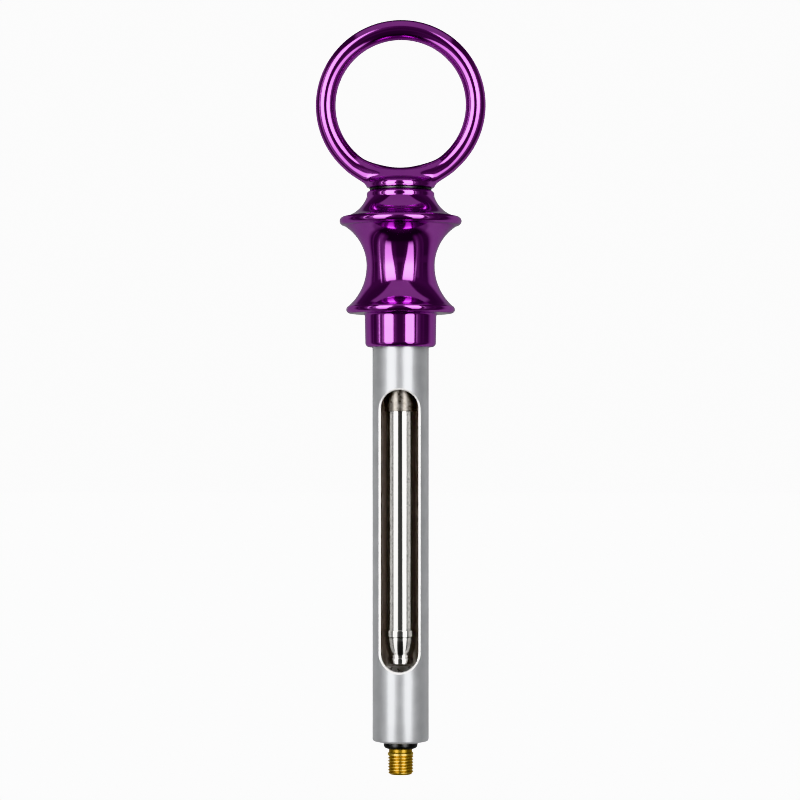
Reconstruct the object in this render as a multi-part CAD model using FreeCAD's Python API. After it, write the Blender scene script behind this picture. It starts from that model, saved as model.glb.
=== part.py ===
import FreeCAD, Part
import math
import os

from FreeCAD import Vector

# Dental cartridge syringe, standing on its needle tip, in millimetres.
# The main axis is Z, from the needle tip at Z = 0 up to the thumb ring.
# The ring lies in the XZ plane, and the barrel's window looks towards -Y.

# Clearances
RUNNING_CLEARANCE = 0.05
SLEEVE_CLEARANCE = 0.1
STROKE_CLEARANCE = 0.3
BUSH_RECESS = 0.2

# Needle tip
TIP_THREAD_D = 5.3
TIP_THREAD_LENGTH = 4.6
TIP_CHAMFER = 0.45
NECK_D = 4.8
NECK_LENGTH = 0.6
CANNULA_BORE_D = 1.8
CANNULA_FUNNEL_D = 3.4

# Washer against the barrel's nose
TIP_WASHER_D = 7.0
TIP_WASHER_THICKNESS = 1.5
TIP_WASHER_ROUND = 0.8

# Barrel
BARREL_D = 11.5
BARREL_BORE_D = 9.0
BARREL_NOSE_WALL = 2.5
BARREL_SHOWN_LENGTH = 79.5
BARREL_NOSE_ROUND = 0.5
BARREL_TOP_CHAMFER = 0.4
FLOOR_CHAMFER = 0.4
WINDOW_WIDTH = 7.7
WINDOW_LENGTH = 56.65
WINDOW_FROM_NOSE = 14.25
WINDOW_CHAMFER = 0.3

# Finger grip, from the collar's mouth upwards
COLLAR_D = 14.4
COLLAR_TOP_D = 14.6
COLLAR_LENGTH = 6.8
COLLAR_MOUTH_ROUND = 0.9
COLLAR_ROOT_ROUND = 0.5
LOWER_FLANGE_D = 22.1
LOWER_FLANGE_EDGE_R = 0.85
LOWER_FLANGE_TO_WAIST = 8.8
WAIST_D = 13.9
WAIST_TO_UPPER_FLANGE = 9.05
UPPER_FLANGE_D = 24.8
UPPER_FLANGE_EDGE_R = 0.93
UPPER_FLANGE_TO_TOP = 6.1
TOP_FLARE_R = 7.4
SHOULDER_D = 13.8
SHOULDER_ROUND = 0.65
SOCKET_DEPTH = 7.8

# Inside the grip
GUIDE_BORE_D = 8.8
SLEEVE_SEAT_LENGTH = 10.5
SLEEVE_NOSE_SHOWN = 4.65
SLEEVE_NOSE_HIDDEN = 0.7
SLEEVE_NOSE_END_D = 6.4
SLEEVE_NOSE_TOP_D = 6.9
SLEEVE_SHOULDER = 1.0
COLLAR_O_RING_SECTION = 0.8
COLLAR_O_RING_FROM_MOUTH = 1.2

# Plunger
ROD_D = 6.0
ROD_LENGTH = 89.1
RING_STUD_D = 3.0
RING_STUD_LENGTH = 2.8
HEAD_STUD_D = 3.0
HEAD_STUD_LENGTH = 4.5
STUD_CHAMFER = 0.3

# Plunger head, from its top downwards
HEAD_D = 6.6
HEAD_BAND = 1.4
HEAD_EDGE = 0.2
HEAD_BODY_D = 6.25
HEAD_BODY = 3.7
HEAD_NECK_D = 4.7
HEAD_NECK = 0.5
HEAD_FOOT_D = 5.2
HEAD_FOOT = 1.4

# Thumb ring and the washer under it
BUFFER_D = 12.6
BUFFER_THICKNESS = 0.6
RING_OUTER_D = 34.5
RING_WIRE_D = 4.15
RING_CENTRE_RISE = 16.75
RING_BASE_D = 13.3
RING_BASE_WALL = 1.9
RING_BASE_ROUND = 0.8
RING_FLARE_INSET = 0.3
RING_FLARE_RISE = 3.9
RING_FLARE_SPREAD = 3.85

ORIGIN = Vector(0, 0, 0)
UP = Vector(0, 0, 1)

# Heights of the faces where the pieces meet
neck_top_z = TIP_THREAD_LENGTH + NECK_LENGTH
nose_z = neck_top_z + TIP_WASHER_THICKNESS
floor_z = nose_z + BARREL_NOSE_WALL
window_low_z = nose_z + WINDOW_FROM_NOSE
window_high_z = window_low_z + WINDOW_LENGTH
mouth_z = nose_z + BARREL_SHOWN_LENGTH
barrel_top_z = mouth_z + SOCKET_DEPTH
sleeve_nose_z = window_high_z + WINDOW_CHAMFER - SLEEVE_NOSE_SHOWN
sleeve_top_z = barrel_top_z + SLEEVE_SEAT_LENGTH
lower_flange_z = mouth_z + COLLAR_LENGTH + LOWER_FLANGE_EDGE_R
waist_z = lower_flange_z + LOWER_FLANGE_TO_WAIST
upper_flange_z = waist_z + WAIST_TO_UPPER_FLANGE
grip_top_z = upper_flange_z + UPPER_FLANGE_TO_TOP
ring_base_z = grip_top_z + BUFFER_THICKNESS
ring_centre_z = ring_base_z + RING_CENTRE_RISE
head_top_z = ring_base_z - ROD_LENGTH

# Radii and sections that follow from the fits
rod_hole_r = ROD_D / 2 + RUNNING_CLEARANCE
socket_r = BARREL_D / 2 + RUNNING_CLEARANCE
rod_o_ring_section = GUIDE_BORE_D / 2 - RUNNING_CLEARANCE - rod_hole_r
bush_low_z = sleeve_top_z + rod_o_ring_section + 2 * RUNNING_CLEARANCE
ring_r = (RING_OUTER_D - RING_WIRE_D) / 2
stroke = sleeve_nose_z - head_top_z - STROKE_CLEARANCE


def on_circle(centre, radius, degrees):
    """The point of a circle at an angle, counted from the outward direction towards +Z."""
    angle = math.radians(degrees)
    return centre[0] + radius * math.cos(angle), centre[1] + radius * math.sin(angle)


def hollow_arc(start, end, radius):
    """An arc of a given radius from start to end that is hollow on its outer side."""
    run = end[0] - start[0]
    rise = end[1] - start[1]
    chord = math.hypot(run, rise)
    sag = radius - math.sqrt(radius**2 - chord**2 / 4)
    side = -1 if rise > 0 else 1
    middle = (
        (start[0] + end[0]) / 2 + side * sag * rise / chord,
        (start[1] + end[1]) / 2 - side * sag * run / chord,
    )
    return middle, end


def waist_radius(waist, end):
    """Radius of the arc that leaves the waist parallel to the axis and reaches end."""
    run = end[0] - waist[0]
    rise = end[1] - waist[1]
    return (run**2 + rise**2) / (2 * run)


def turned(start, *steps):
    """A solid turned round the axis. Points are (radius, height). A step is the next corner,
    or a pair of a middle point and an end point for an arc."""
    edges = []
    here = start
    for step in (*steps, start):
        if isinstance(step[0], tuple):
            middle, end = step
            ends = [Vector(p[0], 0, p[1]) for p in (here, middle, end)]
            edges.append(Part.Arc(*ends).toShape())
        else:
            end = step
            ends = [Vector(p[0], 0, p[1]) for p in (here, end)]
            edges.append(Part.LineSegment(*ends).toShape())
        here = end
    return Part.Face(Part.Wire(edges)).revolve(ORIGIN, UP, 360)


def tube(inner_r, outer_r, low_z, high_z, edge):
    """A plain tube with its outer edges broken by a small chamfer."""
    return turned(
        (inner_r, low_z),
        (outer_r - edge, low_z),
        (outer_r, low_z + edge),
        (outer_r, high_z - edge),
        (outer_r - edge, high_z),
        (inner_r, high_z),
    )


def o_ring(inner_r, section, centre_z):
    """A rubber ring of round section, named by the radius of its hole."""
    section_r = section / 2
    return Part.makeTorus(inner_r + section_r, section_r, Vector(0, 0, centre_z), UP)


def make_needle_adapter():
    """Threaded tip, its neck and its shank in the nose, bored through with a funnel."""
    thread_r = TIP_THREAD_D / 2
    neck_r = NECK_D / 2
    bore_r = CANNULA_BORE_D / 2
    funnel_r = CANNULA_FUNNEL_D / 2
    relief = thread_r - neck_r
    return turned(
        (bore_r, 0),
        (thread_r - TIP_CHAMFER, 0),
        (thread_r, TIP_CHAMFER),
        (thread_r, TIP_THREAD_LENGTH - relief),
        (neck_r, TIP_THREAD_LENGTH),
        (neck_r, floor_z),
        (funnel_r, floor_z),
        (bore_r, floor_z - (funnel_r - bore_r)),
    )


def make_tip_washer():
    """Rubber washer round the neck, with its lower edge rounded."""
    outer_r = TIP_WASHER_D / 2
    centre = (outer_r - TIP_WASHER_ROUND, neck_top_z + TIP_WASHER_ROUND)
    return turned(
        (NECK_D / 2, neck_top_z),
        on_circle(centre, TIP_WASHER_ROUND, -90),
        (on_circle(centre, TIP_WASHER_ROUND, -45), on_circle(centre, TIP_WASHER_ROUND, 0)),
        (outer_r, nose_z),
        (NECK_D / 2, nose_z),
    )


def window_cutter():
    """Slot with round ends that reaches from the axis out through the front wall."""
    half = WINDOW_WIDTH / 2
    low = window_low_z + half
    high = window_high_z - half
    corners = [Vector(x, 0, z) for x, z in ((-half, low), (half, low), (half, high), (-half, high))]
    bottom = Part.Arc(corners[0], Vector(0, 0, window_low_z), corners[1]).toShape()
    right = Part.LineSegment(corners[1], corners[2]).toShape()
    top = Part.Arc(corners[2], Vector(0, 0, window_high_z), corners[3]).toShape()
    left = Part.LineSegment(corners[3], corners[0]).toShape()
    face = Part.Face(Part.Wire([bottom, right, top, left]))
    return face.extrude(Vector(0, -BARREL_D, 0))


def lies_on_outside(edge):
    """Whether an edge lies on the barrel's outer wall, at the rim of the window."""
    middle = edge.valueAt((edge.FirstParameter + edge.LastParameter) / 2)
    points = [middle] + [vertex.Point for vertex in edge.Vertexes]
    low = window_low_z - WINDOW_CHAMFER
    high = window_high_z + WINDOW_CHAMFER
    inside = all(low < point.z < high for point in points)
    return inside and math.isclose(math.hypot(middle.x, middle.y), BARREL_D / 2, rel_tol=1e-5)


def make_barrel():
    """Tube with a closed nose, a window cut in its front wall and broken edges."""
    outer_r = BARREL_D / 2
    bore_r = BARREL_BORE_D / 2
    nose = (outer_r - BARREL_NOSE_ROUND, nose_z + BARREL_NOSE_ROUND)
    blank = turned(
        (NECK_D / 2, nose_z),
        on_circle(nose, BARREL_NOSE_ROUND, -90),
        (on_circle(nose, BARREL_NOSE_ROUND, -45), on_circle(nose, BARREL_NOSE_ROUND, 0)),
        (outer_r, barrel_top_z - BARREL_TOP_CHAMFER),
        (outer_r - BARREL_TOP_CHAMFER, barrel_top_z),
        (bore_r, barrel_top_z),
        (bore_r, floor_z + FLOOR_CHAMFER),
        (bore_r - FLOOR_CHAMFER, floor_z),
        (NECK_D / 2, floor_z),
    )
    cut = blank.cut(window_cutter())
    rim = [edge for edge in cut.Edges if lies_on_outside(edge)]
    return cut.makeChamfer(WINDOW_CHAMFER, rim)


def make_finger_grip():
    """Spool with two flanges, a waist and a collar, bored through for the rod's guides."""
    collar_r = COLLAR_D / 2
    collar_top_r = COLLAR_TOP_D / 2
    flange_low_z = mouth_z + COLLAR_LENGTH
    lower = (LOWER_FLANGE_D / 2 - LOWER_FLANGE_EDGE_R, lower_flange_z)
    upper = (UPPER_FLANGE_D / 2 - UPPER_FLANGE_EDGE_R, upper_flange_z)
    waist = (WAIST_D / 2, waist_z)
    mouth = (collar_r - COLLAR_MOUTH_ROUND, mouth_z + COLLAR_MOUTH_ROUND)
    root = (collar_top_r + COLLAR_ROOT_ROUND, flange_low_z - COLLAR_ROOT_ROUND)
    shoulder = (SHOULDER_D / 2 - SHOULDER_ROUND, grip_top_z - SHOULDER_ROUND)
    lower_edge = on_circle(lower, LOWER_FLANGE_EDGE_R, 65)
    upper_edge = on_circle(upper, UPPER_FLANGE_EDGE_R, -87)
    flare_start = on_circle(upper, UPPER_FLANGE_EDGE_R, 100)
    spool = turned(
        (socket_r, mouth_z),
        on_circle(mouth, COLLAR_MOUTH_ROUND, -90),
        (on_circle(mouth, COLLAR_MOUTH_ROUND, -45), on_circle(mouth, COLLAR_MOUTH_ROUND, 0)),
        on_circle(root, COLLAR_ROOT_ROUND, 180),
        (on_circle(root, COLLAR_ROOT_ROUND, 135), on_circle(root, COLLAR_ROOT_ROUND, 90)),
        on_circle(lower, LOWER_FLANGE_EDGE_R, -90),
        (on_circle(lower, LOWER_FLANGE_EDGE_R, -10), lower_edge),
        hollow_arc(lower_edge, waist, waist_radius(waist, lower_edge)),
        hollow_arc(waist, upper_edge, waist_radius(waist, upper_edge)),
        (on_circle(upper, UPPER_FLANGE_EDGE_R, 5), flare_start),
        hollow_arc(flare_start, on_circle(shoulder, SHOULDER_ROUND, 0), TOP_FLARE_R),
        (on_circle(shoulder, SHOULDER_ROUND, 45), on_circle(shoulder, SHOULDER_ROUND, 90)),
        (GUIDE_BORE_D / 2, grip_top_z),
        (GUIDE_BORE_D / 2, barrel_top_z),
        (socket_r, barrel_top_z),
    )
    groove_low_z = mouth_z + COLLAR_O_RING_FROM_MOUTH
    groove_width = COLLAR_O_RING_SECTION + 2 * RUNNING_CLEARANCE
    groove_r = socket_r + groove_width
    groove = Part.makeCylinder(groove_r, groove_width, Vector(0, 0, groove_low_z), UP)
    return spool.cut(groove)


def make_collar_o_ring():
    """Ring in the collar's groove that grips the barrel."""
    centre_z = mouth_z + COLLAR_O_RING_FROM_MOUTH + COLLAR_O_RING_SECTION / 2 + RUNNING_CLEARANCE
    return o_ring(socket_r + RUNNING_CLEARANCE / 2, COLLAR_O_RING_SECTION, centre_z)


def make_guide_sleeve():
    """Sleeve pressed in the grip, which reaches through the barrel's bore to a tapered nose."""
    body_r = BARREL_BORE_D / 2 - SLEEVE_CLEARANCE
    seat_r = GUIDE_BORE_D / 2
    shoulder_z = sleeve_nose_z + SLEEVE_NOSE_SHOWN + SLEEVE_NOSE_HIDDEN
    return turned(
        (rod_hole_r, sleeve_nose_z),
        (SLEEVE_NOSE_END_D / 2, sleeve_nose_z),
        (SLEEVE_NOSE_TOP_D / 2, shoulder_z),
        (body_r, shoulder_z + SLEEVE_SHOULDER),
        (body_r, barrel_top_z - SLEEVE_CLEARANCE),
        (seat_r, barrel_top_z),
        (seat_r, sleeve_top_z),
        (rod_hole_r, sleeve_top_z),
    )


def make_rod_o_ring():
    """Ring between the sleeve and the bush that drags on the rod."""
    centre_z = (sleeve_top_z + bush_low_z) / 2
    return o_ring(rod_hole_r, rod_o_ring_section, centre_z)


def make_top_bush():
    """Plain bush pressed in from the grip's top."""
    return turned(
        (rod_hole_r, bush_low_z),
        (GUIDE_BORE_D / 2, bush_low_z),
        (GUIDE_BORE_D / 2, grip_top_z - BUSH_RECESS),
        (rod_hole_r, grip_top_z - BUSH_RECESS),
    )


def make_plunger_rod():
    """Round rod with a shouldered stud at each end."""
    rod_r = ROD_D / 2
    head_stud_r = HEAD_STUD_D / 2
    ring_stud_r = RING_STUD_D / 2
    low_z = head_top_z - HEAD_STUD_LENGTH
    high_z = ring_base_z + RING_STUD_LENGTH
    return turned(
        (0, low_z),
        (head_stud_r - STUD_CHAMFER, low_z),
        (head_stud_r, low_z + STUD_CHAMFER),
        (head_stud_r, head_top_z),
        (rod_r, head_top_z),
        (rod_r, ring_base_z),
        (ring_stud_r, ring_base_z),
        (ring_stud_r, high_z - STUD_CHAMFER),
        (ring_stud_r - STUD_CHAMFER, high_z),
        (0, high_z),
    )


def make_plunger_head():
    """Banded head whose body draws in to a neck above a foot, bored for the rod's stud."""
    band_r = HEAD_D / 2
    body_r = HEAD_BODY_D / 2
    neck_r = HEAD_NECK_D / 2
    foot_r = HEAD_FOOT_D / 2
    band_z = head_top_z - HEAD_BAND
    body_top_z = band_z - HEAD_EDGE
    neck_z = band_z - HEAD_BODY
    foot_top_z = neck_z - HEAD_NECK
    foot_z = foot_top_z - HEAD_FOOT
    stud_z = head_top_z - HEAD_STUD_LENGTH
    bow_r = waist_radius((neck_r, body_top_z), (body_r, neck_z))
    bow = (body_r - bow_r, body_top_z)
    bow_end = math.degrees(math.asin((neck_z - body_top_z) / bow_r))
    return turned(
        (0, foot_z),
        (foot_r - HEAD_EDGE, foot_z),
        (foot_r, foot_z + HEAD_EDGE),
        (foot_r, foot_top_z - HEAD_EDGE),
        (foot_r - HEAD_EDGE, foot_top_z),
        (neck_r, foot_top_z),
        (neck_r, neck_z),
        (on_circle(bow, bow_r, bow_end / 2), (body_r, body_top_z)),
        (band_r, band_z),
        (band_r, head_top_z - HEAD_EDGE),
        (band_r - HEAD_EDGE, head_top_z),
        (HEAD_STUD_D / 2, head_top_z),
        (HEAD_STUD_D / 2, stud_z),
        (0, stud_z),
    )


def make_buffer_washer():
    """Soft stop ring round the rod, under the thumb ring's base."""
    return tube(ROD_D / 2, BUFFER_D / 2, grip_top_z, ring_base_z, RUNNING_CLEARANCE)


def flat_oval(half_x, half_y, height):
    """A closed oval, half_x by half_y, at a height."""
    if math.isclose(half_x, half_y):
        curve = Part.Circle(Vector(0, 0, height), UP, half_x)
    else:
        curve = Part.Ellipse(Vector(half_x, 0, height), Vector(0, half_y, height), Vector(0, 0, height))
    return Part.Wire([curve.toShape()])


def ring_foot():
    """Round disc under the ring, with its upper edge rounded over."""
    base_r = RING_BASE_D / 2
    edge = (base_r - RING_BASE_ROUND, ring_base_z + RING_BASE_WALL - RING_BASE_ROUND)
    return turned(
        (0, ring_base_z),
        (base_r, ring_base_z),
        on_circle(edge, RING_BASE_ROUND, 0),
        (on_circle(edge, RING_BASE_ROUND, 45), on_circle(edge, RING_BASE_ROUND, 90)),
        (0, ring_base_z + RING_BASE_WALL),
    )


def make_thumb_ring():
    """Ring of round wire on a round foot, with sides that flare up from the foot to the wire."""
    flare_r = RING_BASE_D / 2 - RING_FLARE_INSET
    wire_r = RING_WIRE_D / 2
    sections = []
    for share in (0, 0.2, 0.4, 0.7, 1):
        half_x = flare_r + RING_FLARE_SPREAD * share
        half_y = wire_r + (flare_r - wire_r) * (1 - share) ** 2.2
        sections.append(flat_oval(half_x, half_y, ring_base_z + RING_FLARE_RISE * share))
    flare = Part.makeLoft(sections, True)
    wire = Part.makeTorus(ring_r, wire_r, Vector(0, 0, ring_centre_z), Vector(0, 1, 0))
    below = Part.makeCylinder(RING_OUTER_D, RING_WIRE_D, Vector(0, 0, ring_base_z), Vector(0, 0, -1))
    stud_hole = Part.makeCylinder(RING_STUD_D / 2, RING_STUD_LENGTH, Vector(0, 0, ring_base_z), UP)
    ring = wire.fuse(flare).fuse(ring_foot())
    return ring.cut(below).cut(stud_hole).removeSplitter()


PARTS = {
    "needle_adapter": make_needle_adapter,
    "tip_washer": make_tip_washer,
    "barrel": make_barrel,
    "finger_grip": make_finger_grip,
    "collar_o_ring": make_collar_o_ring,
    "guide_sleeve": make_guide_sleeve,
    "rod_o_ring": make_rod_o_ring,
    "top_bush": make_top_bush,
    "plunger_rod": make_plunger_rod,
    "plunger_head": make_plunger_head,
    "buffer_washer": make_buffer_washer,
    "thumb_ring": make_thumb_ring,
}

os.makedirs("parts", exist_ok=True)
for node, make in PARTS.items():
    shape = make()
    shape.exportStep(f"parts/{node}.step")
    print(f"{node}: {len(shape.Solids)} solid, {shape.Volume:.1f} mm3, valid {shape.isValid()}")
print(f"plunger stroke {stroke:.2f} mm")
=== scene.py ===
import logging
import math
from dataclasses import dataclass, field
from enum import Enum
from typing import Any, Callable, Iterable, Sequence

import bmesh
import bpy
import numpy as np
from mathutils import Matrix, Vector


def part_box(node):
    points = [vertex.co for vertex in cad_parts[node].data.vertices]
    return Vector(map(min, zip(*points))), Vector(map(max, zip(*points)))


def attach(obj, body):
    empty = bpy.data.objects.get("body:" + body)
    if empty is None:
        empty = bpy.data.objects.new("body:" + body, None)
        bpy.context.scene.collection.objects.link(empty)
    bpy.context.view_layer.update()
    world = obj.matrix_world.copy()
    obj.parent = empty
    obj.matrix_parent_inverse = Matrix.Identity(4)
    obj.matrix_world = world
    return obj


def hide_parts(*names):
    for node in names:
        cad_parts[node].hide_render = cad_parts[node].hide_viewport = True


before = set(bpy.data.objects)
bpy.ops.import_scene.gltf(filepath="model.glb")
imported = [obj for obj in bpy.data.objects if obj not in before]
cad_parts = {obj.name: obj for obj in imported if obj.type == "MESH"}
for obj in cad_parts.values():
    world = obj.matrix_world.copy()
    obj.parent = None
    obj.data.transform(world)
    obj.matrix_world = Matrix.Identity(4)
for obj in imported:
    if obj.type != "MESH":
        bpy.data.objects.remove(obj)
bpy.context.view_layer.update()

# A dental cartridge syringe of metal, standing on its needle tip. Lengths are millimetres
# inside the classes and turn to metres when a mesh is made. The main axis is Z, the barrel's
# window looks towards -Y and the thumb ring lies in the XZ plane.

METRES = 0.001
SHARP_EDGE = math.radians(34)
# The wave texture repeats after this length when its scale is 1.
WAVE_PERIOD = 2 * math.pi / 20
# Noise seldom leaves this range, so tones and roughness are spread over it.
DRIFT = (0.3, 0.7)
LOG = logging.getLogger("syringe")

Point = tuple[float, float]


class Slot(Enum):
    """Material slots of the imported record."""

    BRASS = "brass"
    RUBBER = "black_rubber"
    SATIN = "satin_steel"
    TURNED = "turned_steel"
    POLISHED = "polished_steel"
    PURPLE = "purple_anodised"
    PTFE = "white_ptfe"


class Body(Enum):
    """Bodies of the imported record."""

    HANDLE = "handle"
    ROD_SEAL = "rod_seal"
    PLUNGER = "plunger"
    COLLAR_SEAL = "collar_seal"
    BARREL = "barrel"


def linear(code: str) -> tuple[float, float, float, float]:
    """Turns an sRGB hex colour to linear RGBA.

    Args:
        code: Colour such as "#8A2BE2".

    Returns:
        Linear red, green, blue and an alpha of 1.
    """
    parts = [int(code[i : i + 2], 16) / 255 for i in (1, 3, 5)]
    red, green, blue = (p / 12.92 if p <= 0.04045 else ((p + 0.055) / 1.055) ** 2.4 for p in parts)
    return red, green, blue, 1.0


def box_mm(node: str) -> tuple[Vector, Vector]:
    """Reads a CAD node's box.

    Args:
        node: Name of the CAD node.

    Returns:
        Lowest and highest corner in millimetres.
    """
    low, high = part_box(node)
    return low / METRES, high / METRES


def add(
    tree: bpy.types.NodeTree,
    kind: str,
    inputs: dict[str | int, Any] | None = None,
    **settings: Any,
) -> bpy.types.Node:
    """Adds a node with its settings, values and links.

    Args:
        tree: Node tree that takes the node.
        kind: Blender's name for the node type.
        inputs: Value, or output socket to link, for each input by name or number.
        **settings: Properties of the node.

    Returns:
        The new node.
    """
    node = tree.nodes.new(kind)
    for name, value in settings.items():
        setattr(node, name, value)
    for key, value in (inputs or {}).items():
        if isinstance(value, bpy.types.NodeSocket):
            tree.links.new(value, node.inputs[key])
        else:
            node.inputs[key].default_value = value
    return node


# Finishes


@dataclass(frozen=True)
class Finish:
    """A surface finish: what it is made of, and how it looks.

    Attributes:
        name: Name of the material, from the real substance and how it was worked.
        slot: Slot of the record that the finish belongs to. It is not used.
        light: Lighter tone as sRGB hex.
        dark: Darker tone as sRGB hex.
        metallic: 1 for a metal and 0 for anything else.
        roughness: Lowest and highest roughness.
        patch: Size in millimetres of the patches where tone and roughness drift.
        grain: Size in millimetres of the fine relief.
        relief: Depth in millimetres of the fine relief.
        stretch: How many times longer than wide the patches and grain are, along the axis.
        specular: How strongly a surface that isn't metal mirrors, with 0.5 as the usual level.
        coat: Share of the surface under a clear skin, and the skin's roughness.
        edge: Tint at grazing angles as sRGB hex.
    """

    name: str
    slot: Slot
    light: str
    dark: str
    metallic: float = 1.0
    roughness: Point = (0.1, 0.2)
    patch: float = 3.0
    grain: float = 0.2
    relief: float = 0.002
    stretch: float = 1.0
    specular: float = 0.5
    coat: Point = (0.0, 0.03)
    edge: str = "#FFFFFF"

    def noise(self, tree: bpy.types.NodeTree, size: float, detail: float) -> bpy.types.NodeSocket:
        """Lays noise over the piece, stretched along the axis.

        Args:
            tree: Node tree of the material.
            size: Size of one patch in millimetres.
            detail: Octaves of finer noise.

        Returns:
            The noise value, from 0 to 1.
        """
        place = add(tree, "ShaderNodeTexCoord")
        scale = (1.0, 1.0, 1.0 / self.stretch)
        mapped = add(tree, "ShaderNodeMapping", {"Vector": place.outputs["Object"], "Scale": scale})
        cells = 1 / (size * METRES)
        values = {"Vector": mapped.outputs["Vector"], "Scale": cells, "Detail": detail}
        return add(tree, "ShaderNodeTexNoise", values).outputs["Fac"]

    def height(self, tree: bpy.types.NodeTree) -> bpy.types.NodeSocket:
        """The fine relief's height, from 0 to 1."""
        return self.noise(tree, self.grain, 2.0)

    def tone(self, tree: bpy.types.NodeTree, drift: bpy.types.NodeSocket) -> bpy.types.NodeSocket:
        """Colours the surface between its two tones.

        Args:
            tree: Node tree of the material.
            drift: Slow noise from 0 to 1 that mixes the tones.

        Returns:
            The base colour.
        """
        ramp = add(tree, "ShaderNodeValToRGB", {"Fac": drift})
        for element, place, code in zip(ramp.color_ramp.elements, DRIFT, (self.dark, self.light)):
            element.position = place
            element.color = linear(code)
        return ramp.outputs["Color"]

    def material(self) -> bpy.types.Material:
        """Makes the material, or finds it if it is made already.

        Returns:
            The material, with drifting tone and roughness and a fine relief.
        """
        made = bpy.data.materials.get(self.name)
        if made:
            return made
        made = bpy.data.materials.new(self.name)
        made.use_nodes = True
        tree = made.node_tree
        tree.nodes.clear()
        drift = self.noise(tree, self.patch, 3.0)
        low, high = self.roughness
        rough = add(
            tree,
            "ShaderNodeMapRange",
            {"Value": drift, "From Min": DRIFT[0], "From Max": DRIFT[1], "To Min": low, "To Max": high},
        )
        bump = add(
            tree,
            "ShaderNodeBump",
            {"Strength": 1.0, "Distance": self.relief * METRES, "Height": self.height(tree)},
        )
        shader = add(
            tree,
            "ShaderNodeBsdfPrincipled",
            {
                "Base Color": self.tone(tree, drift),
                "Metallic": self.metallic,
                "Roughness": rough.outputs["Result"],
                "Specular IOR Level": self.specular,
                "Specular Tint": linear(self.edge),
                "Coat Weight": self.coat[0],
                "Coat Roughness": self.coat[1],
                "Normal": bump.outputs["Normal"],
            },
        )
        add(tree, "ShaderNodeOutputMaterial", {"Surface": shader.outputs["BSDF"]})
        return made

    def dress(self, piece: bpy.types.Object) -> None:
        """Gives the finish to every material slot of a piece."""
        piece.data.materials.clear()
        piece.data.materials.append(self.material())


@dataclass(frozen=True)
class TurnedFinish(Finish):
    """A finish with the fine rings that a lathe tool leaves.

    Attributes:
        feed: Distance between two rings in millimetres.
    """

    feed: float = 0.2

    def height(self, tree: bpy.types.NodeTree) -> bpy.types.NodeSocket:
        """Mixes rings across the axis with the grain.

        Args:
            tree: Node tree of the material.

        Returns:
            The relief's height, from 0 to 1.
        """
        place = add(tree, "ShaderNodeTexCoord")
        waves = WAVE_PERIOD / (self.feed * METRES)
        rings = add(
            tree,
            "ShaderNodeTexWave",
            {"Vector": place.outputs["Object"], "Scale": waves, "Distortion": 0.6, "Detail": 1.0},
            bands_direction="Z",
        )
        grain = super().height(tree)
        mixed = add(tree, "ShaderNodeMath", {0: rings.outputs["Fac"], 1: grain}, operation="ADD")
        return add(tree, "ShaderNodeMath", {0: mixed.outputs[0], 1: 0.5}, operation="MULTIPLY").outputs[0]


@dataclass(frozen=True)
class GrooveShadedFinish(TurnedFinish):
    """A turned finish with painted shade in its thread grooves.

    Attributes:
        root: Radius in millimetres where the painted shade in the groove is deepest.
        crest: Radius where the painted shade has faded and the metal shows its own tone.
        groove_shade: Painted shade in the grooves as sRGB hex.
    """

    root: float = 1.0
    crest: float = 2.0
    groove_shade: str = "#303030"

    def tone(self, tree: bpy.types.NodeTree, drift: bpy.types.NodeSocket) -> bpy.types.NodeSocket:
        """Mixes the usual tone with the painted groove shade by distance from the axis.

        Args:
            tree: Node tree of the material.
            drift: Slow noise from 0 to 1 that mixes the tones.

        Returns:
            The base colour.
        """
        place = add(tree, "ShaderNodeTexCoord").outputs["Object"]
        across = add(tree, "ShaderNodeVectorMath", {0: place, 1: (1.0, 1.0, 0.0)}, operation="MULTIPLY")
        length = add(tree, "ShaderNodeVectorMath", {0: across.outputs[0]}, operation="LENGTH")
        radius = length.outputs["Value"]
        values = {"Value": radius, "From Min": self.root * METRES, "From Max": self.crest * METRES}
        # Painted shade: the tone darkens from the crest's radius down to the root's.
        bright = add(tree, "ShaderNodeMapRange", values, interpolation_type="SMOOTHSTEP").outputs["Result"]
        mixed = add(
            tree,
            "ShaderNodeMix",
            {"Factor": bright, "A": linear(self.groove_shade), "B": super().tone(tree, drift)},
            data_type="RGBA",
        )
        return mixed.outputs["Result"]


# Aluminium, buffed to a mirror and then anodised purple: deep violet reflections with a breath
# of haze, under the sharp pale glint of the sealed oxide skin.
PURPLE_MIRROR = Finish(
    "purple_anodised_aluminium_buffed", Slot.PURPLE, "#BE66C5", "#B45DBD",
    roughness=(0.07, 0.1), patch=4.0, grain=2.5, relief=0.0004, coat=(0.85, 0.03),
    edge="#C99AD2",
)
# Stainless steel, blasted with fine glass beads: broad soft bands of light, no sharp image.
# A share of plain scattering stands in for the dimples' steep walls. The dimples are drawn
# 0.25 mm wide, coarser than life, so that they show.
BEAD_BLASTED = Finish(
    "stainless_steel_bead_blasted", Slot.SATIN, "#A9AAAC", "#A0A1A3",
    metallic=0.79, roughness=(0.34, 0.38), patch=3.5, grain=0.25, relief=0.0016,
)
# Stainless steel, reamed to size: a darker wall inside the barrel, smeared along its length.
# A small share of plain scattering keeps it from going black beside the rod.
REAMED_BORE = Finish(
    "stainless_steel_reamed", Slot.SATIN, "#C3BFBC", "#B1ACA8",
    metallic=0.9, roughness=(0.28, 0.34), patch=0.8, grain=0.2, relief=0.0006, stretch=8.0,
)
# Stainless steel, freshly cut by a mill: bright pale faces round the window. The share of
# plain scattering stands in for the cutter's fine marks.
# The same pale tone is also laid on the bore's lowest part as painted light.
MILLED_EDGE_AND_PAINTED_BORE_LIGHT = Finish(
    "stainless_steel_milled_and_painted_light", Slot.SATIN, "#DDDCDA", "#D0CFCD",
    metallic=0.6, roughness=(0.26, 0.32), patch=0.8, grain=0.15, relief=0.0003,
)
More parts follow.
